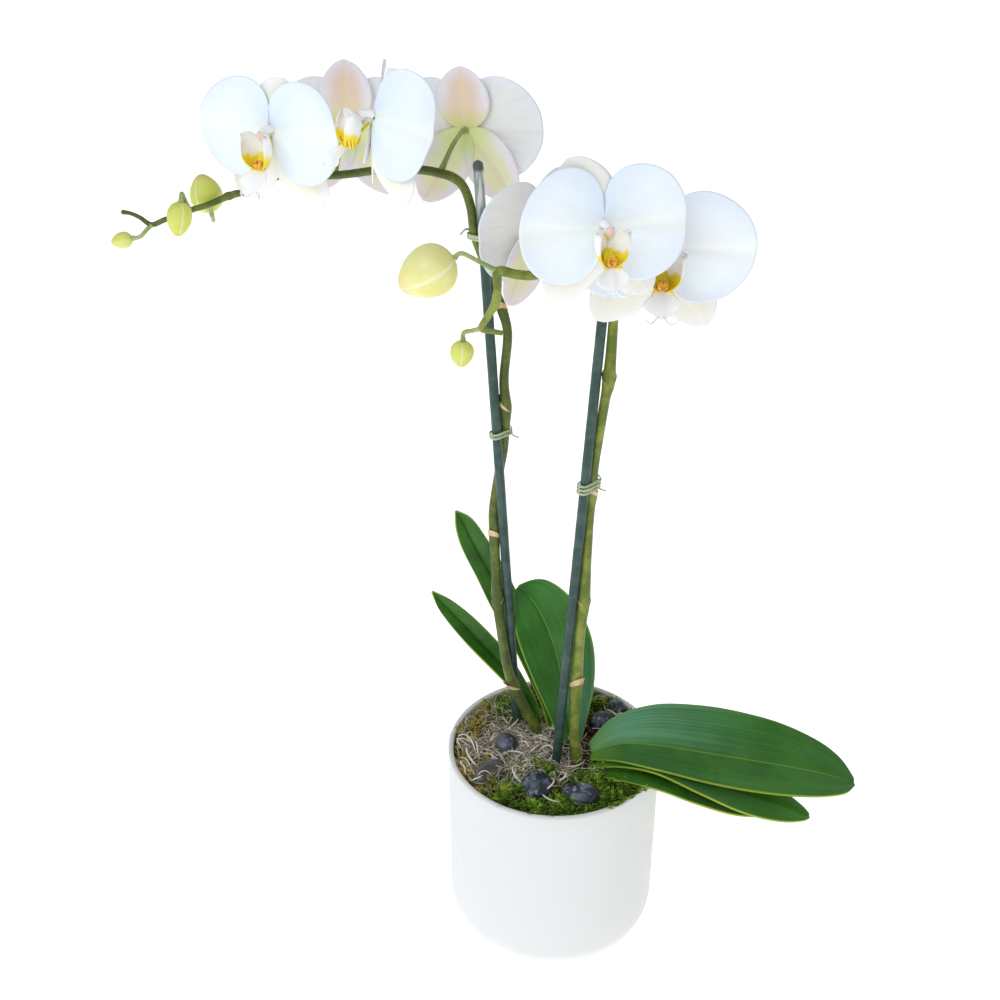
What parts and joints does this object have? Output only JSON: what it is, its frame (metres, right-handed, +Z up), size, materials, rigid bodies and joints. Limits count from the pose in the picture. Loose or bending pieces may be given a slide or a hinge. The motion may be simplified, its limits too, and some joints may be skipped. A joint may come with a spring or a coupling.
{
  "type": "potted moth orchid",
  "caption": "Moth orchid in a plain round pot: white flowers on arching staked spikes, strap leaves, moss and pebbles on top.",
  "frame": {"origin": "centre of the flat underside of the pot, on the surface it stands on", "axes": "+Z up, -Y toward the side the front flowers face, +X to their right"},
  "size_m": [0.4967, 0.2395, 0.6061],
  "materials": {
    "ceramic": "satin",
    "bark": "matte",
    "moss": "matte",
    "fibre": "matte",
    "pebble": "satin",
    "leaf": "satin",
    "stem": "satin",
    "stake": "satin",
    "raffia": "matte",
    "bud": "satin",
    "sepal": "matte",
    "petal": "matte",
    "lip": "satin",
    "column": "satin"
  },
  "bodies": {
    "root": {"bud_1": "bud", "bud_2": "bud", "bud_3": "bud", "bud_4": "bud", "bud_5": "bud", "flower_1_column": "column", "flower_1_lip": "lip", "flower_1_petals": "petal", "flower_1_sepals": "sepal", "flower_2_column": "column", "flower_2_lip": "lip", "flower_2_petals": "petal", "flower_2_sepals": "sepal", "flower_3_column": "column", "flower_3_lip": "lip", "flower_3_petals": "petal", "flower_3_sepals": "sepal", "flower_4_column": "column", "flower_4_lip": "lip", "flower_4_petals": "petal", "flower_4_sepals": "sepal", "flower_5_column": "column", "flower_5_lip": "lip", "flower_5_petals": "petal", "flower_5_sepals": "sepal", "flower_6_column": "column", "flower_6_lip": "lip", "flower_6_petals": "petal", "flower_6_sepals": "sepal", "flower_7_column": "column", "flower_7_lip": "lip", "flower_7_petals": "petal", "flower_7_sepals": "sepal", "growing_medium": "bark", "leaf_1": "leaf", "leaf_2": "leaf", "leaf_3": "leaf", "leaf_4": "leaf", "leaf_5": "leaf", "leaf_6": "leaf", "moss": "moss", "pebble_1": "pebble", "pebble_2": "pebble", "pebble_3": "pebble", "pebble_4": "pebble", "pebble_5": "pebble", "pebble_6": "pebble", "pot": "ceramic", "root_tangle": "fibre", "spike_left": "stem", "spike_right": "stem", "stake_left": "stake", "stake_right": "stake", "tie_left_lower": "raffia", "tie_left_upper": "raffia", "tie_right": "raffia"}
  },
  "joints": []
}
